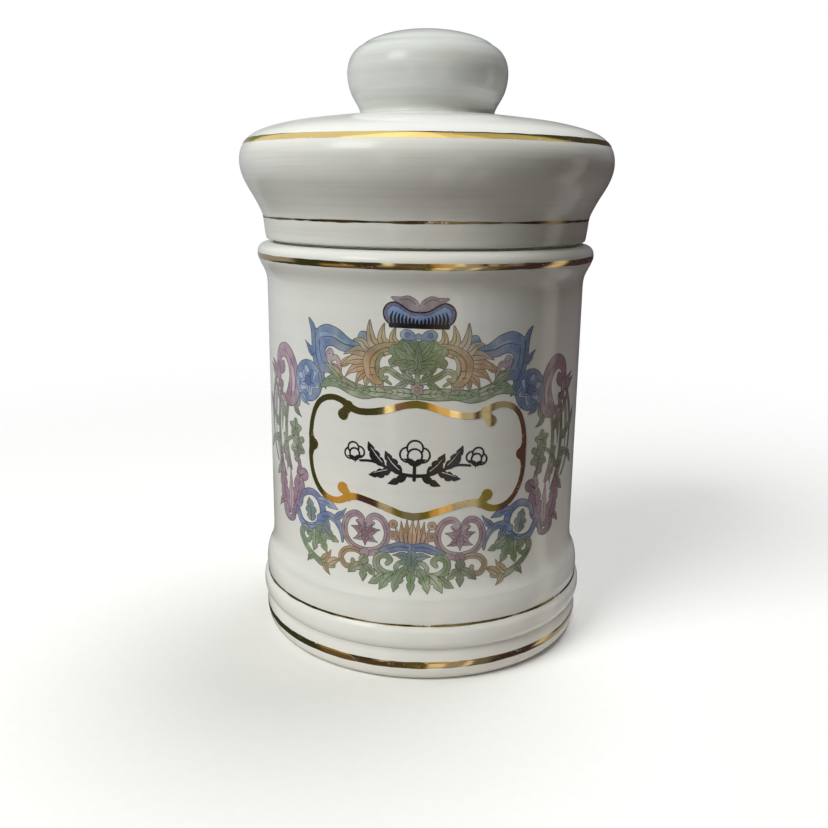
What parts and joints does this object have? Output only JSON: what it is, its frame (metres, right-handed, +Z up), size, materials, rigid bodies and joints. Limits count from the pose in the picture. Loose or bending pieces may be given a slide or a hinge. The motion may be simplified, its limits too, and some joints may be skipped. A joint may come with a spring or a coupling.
{
  "type": "apothecary jar",
  "caption": "Glazed porcelain apothecary jar with a domed, mushroom-knobbed lift-off lid on a sealed collar, gilt bands and a printed wreath round a gilt label frame.",
  "frame": {"origin": "centre of the foot ring's resting plane", "axes": "+Z up along the jar's axis of revolution, -Y towards the front, where the label frame is, +X to the label's right"},
  "size_m": [0.1014, 0.1014, 0.1656],
  "materials": {
    "porcelain": "clear high-gloss glaze on warm white porcelain, dry and unglazed on the foot ring",
    "gilt": "bright fired gold, worn thin and darkened at its edges",
    "seal_plastic": "soft, slightly translucent moulded plastic",
    "ink_black": "fired black print under gloss",
    "ink_navy": "fired navy and blue print under gloss",
    "ink_green": "fired green print under gloss",
    "ink_blue": "fired blue print under gloss",
    "ink_orange": "fired tan-orange print under gloss",
    "ink_mauve": "fired mauve print under gloss"
  },
  "bodies": {
    "jar": {"jar_body": "porcelain", "rim_gilt_band": "gilt", "foot_upper_gilt_line": "gilt", "foot_lower_gilt_band": "gilt", "label_gilt_frame": "gilt", "label_cotton_motif": "ink_black", "crest_transfer": "ink_navy", "wreath_green_transfer": "ink_green", "wreath_blue_transfer": "ink_blue", "wreath_orange_transfer": "ink_orange", "wreath_mauve_transfer": "ink_mauve"},
    "seal": {"sealing_ring": "seal_plastic"},
    "lid": {"lid_shell": "porcelain", "lid_knob": "porcelain", "lid_shoulder_gilt_band": "gilt", "lid_lower_gilt_line": "gilt"}
  },
  "joints": [
    {"name": "lid_lift", "type": "slide", "parent": "jar", "child": "seal", "axis": [0, 0, 1], "range_m": [0, 0.08]},
    {"name": "lid_turn", "type": "hinge", "parent": "seal", "child": "lid", "pos_m": [0, 0, 0.1112], "axis": [0, 0, 1], "continuous": true}
  ]
}
